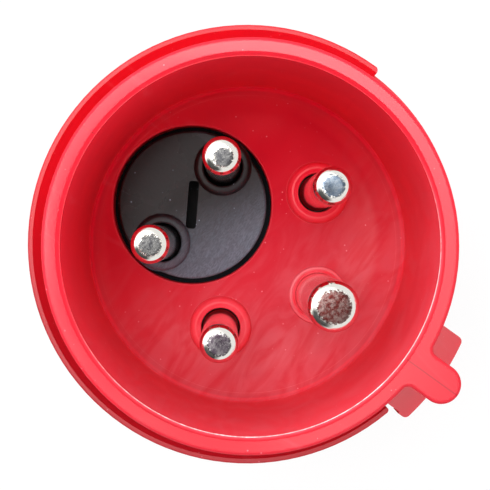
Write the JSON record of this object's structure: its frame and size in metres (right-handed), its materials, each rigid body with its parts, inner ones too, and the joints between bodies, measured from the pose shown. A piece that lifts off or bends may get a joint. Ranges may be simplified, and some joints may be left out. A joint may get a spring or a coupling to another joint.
{
  "type": "phase inverter plug",
  "caption": "Round industrial plug with a keyed shroud, round pins, a turning insert that swaps two of them, a grip body and a screwed cable gland.",
  "frame": {"origin": "centre of the cable hole at the gland nut's end, which the plug stands on", "axes": "+Z along the plug's axis towards its mating face; -Y towards the key rib and the earth pin"},
  "size_m": [0.0774, 0.0806, 0.16],
  "materials": {
    "red_shroud": "semi-gloss moulded, worn",
    "red_housing": "semi-gloss moulded",
    "seal_rubber": "matt",
    "nut_plastic": "fine grain",
    "black_rotor": "fine grain, dusty",
    "carrier_plastic": "matt",
    "cage_plastic": "matt",
    "contact_brass": "bright",
    "plated_pin": "nickel plate over brass, worn",
    "zinc_steel": "zinc plate"
  },
  "bodies": {
    "rear_part": {"rear_housing": "red_housing", "flange_gasket": "seal_rubber", "clamp_cage": "cage_plastic", "gland_seal": "seal_rubber"},
    "front_part": {"shroud": "red_shroud", "contact_carrier": "carrier_plastic", "earth_pin": "plated_pin", "neutral_pin": "plated_pin", "line_3_pin": "plated_pin", "line_1_contact": "contact_brass", "line_2_contact": "contact_brass", "line_1_leaf_spring": "zinc_steel", "line_2_leaf_spring": "zinc_steel", "terminal_screw_1": "zinc_steel", "terminal_screw_2": "zinc_steel", "terminal_screw_3": "zinc_steel", "terminal_screw_4": "zinc_steel", "terminal_screw_5": "zinc_steel", "carrier_screw_1": "zinc_steel", "carrier_screw_2": "zinc_steel", "carrier_screw_3": "zinc_steel", "carrier_screw_4": "zinc_steel", "spring_seat": "zinc_steel", "rotor_spring": "zinc_steel"},
    "rotor_carriage": {"rotor_washer": "zinc_steel"},
    "rotor_unit": {"rotor": "black_rotor", "line_1_pin": "plated_pin", "line_2_pin": "plated_pin"},
    "nut_carriage": {"slip_ring": "zinc_steel"},
    "nut": {"gland_nut": "nut_plastic"}
  },
  "joints": [
    {"name": "bayonet_twist", "type": "hinge", "parent": "rear_part", "child": "front_part", "pos_m": [0, 0, 0.1], "axis": [0, 0, 1], "range_deg": [0, 70]},
    {"name": "rotor_push", "type": "slide", "parent": "front_part", "child": "rotor_carriage", "axis": [0, 0, -1], "range_m": [0, 0.002], "stiffness_N_per_m": 1500, "springref_m": -0.003, "deforming": ["rotor_spring"]},
    {"name": "rotor_turn", "type": "hinge", "parent": "rotor_carriage", "child": "rotor_unit", "pos_m": [0, 0.01215, 0.11], "axis": [0, 0, 1], "range_deg": [0, 180]},
    {"name": "nut_travel", "type": "slide", "parent": "rear_part", "child": "nut_carriage", "axis": [0, 0, -1], "range_m": [0, 0.0045]},
    {"name": "nut_turn", "type": "hinge", "parent": "nut_carriage", "child": "nut", "pos_m": [0, 0, 0.02], "axis": [0, 0, -1], "range_deg": [0, 1080]}
  ],
  "couplings": [
    {"joint": "nut_travel", "follows": "nut_turn", "m_per_rad": 0.00023873}
  ]
}
